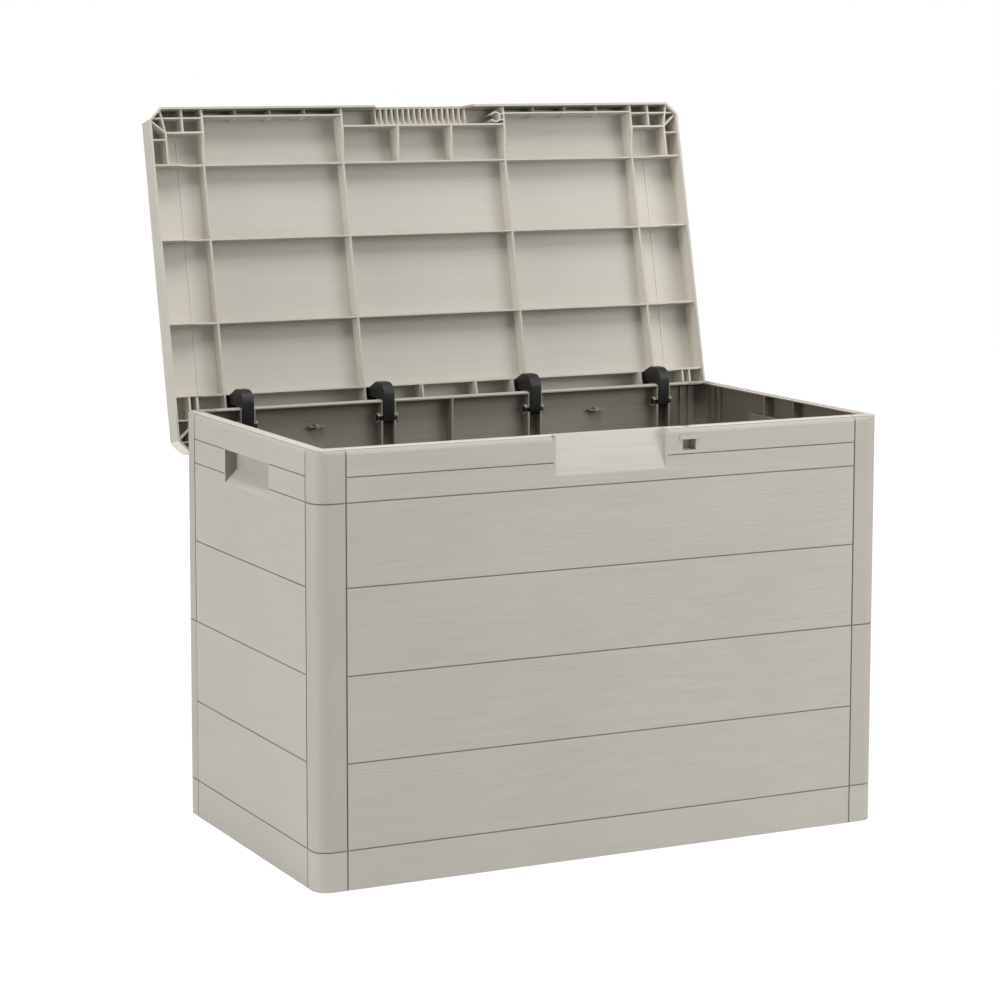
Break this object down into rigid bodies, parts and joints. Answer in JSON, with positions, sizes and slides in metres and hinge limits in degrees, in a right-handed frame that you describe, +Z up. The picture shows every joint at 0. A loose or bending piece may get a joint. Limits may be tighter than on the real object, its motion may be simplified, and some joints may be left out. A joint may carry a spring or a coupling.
{
  "type": "deck storage box",
  "caption": "Free-standing garden storage box of moulded plank-patterned panels and posts on a base tray, with a ribbed lid on snap-in hinge arms, hand recesses and a lock eye.",
  "frame": {"origin": "centre of the base on the ground, at the middle of the base tray's rest pad", "axes": "+X to the right seen from the front, +Y towards the hinged rear, +Z up"},
  "size_m": [0.781, 0.5586, 0.9],
  "materials": {
    "wall_plastic": "matte with an embossed wood grain",
    "base_plastic": "matte with an embossed wood grain",
    "lid_plastic": "matte, grained outside and satin inside",
    "hinge_plastic": "fine-textured black"
  },
  "bodies": {
    "box": {"base_tray": "base_plastic", "front_left_post_lower": "wall_plastic", "front_left_post_upper": "wall_plastic", "front_right_post_lower": "wall_plastic", "front_right_post_upper": "wall_plastic", "rear_left_post_lower": "wall_plastic", "rear_left_post_upper": "wall_plastic", "rear_right_post_lower": "wall_plastic", "rear_right_post_upper": "wall_plastic", "lower_front_panel": "wall_plastic", "lower_rear_panel": "wall_plastic", "lower_left_panel": "wall_plastic", "lower_right_panel": "wall_plastic", "upper_front_panel": "wall_plastic", "upper_rear_panel": "wall_plastic", "upper_left_panel": "wall_plastic", "upper_right_panel": "wall_plastic"},
    "lid": {"lid": "lid_plastic", "hinge_arm_1": "hinge_plastic", "hinge_arm_2": "hinge_plastic", "hinge_arm_3": "hinge_plastic", "hinge_arm_4": "hinge_plastic"}
  },
  "joints": [
    {"name": "lid_hinge", "type": "hinge", "parent": "box", "child": "lid", "pos_m": [0, 0.201, 0.496], "axis": [1, 0, 0], "range_deg": [0, 102.75]}
  ]
}
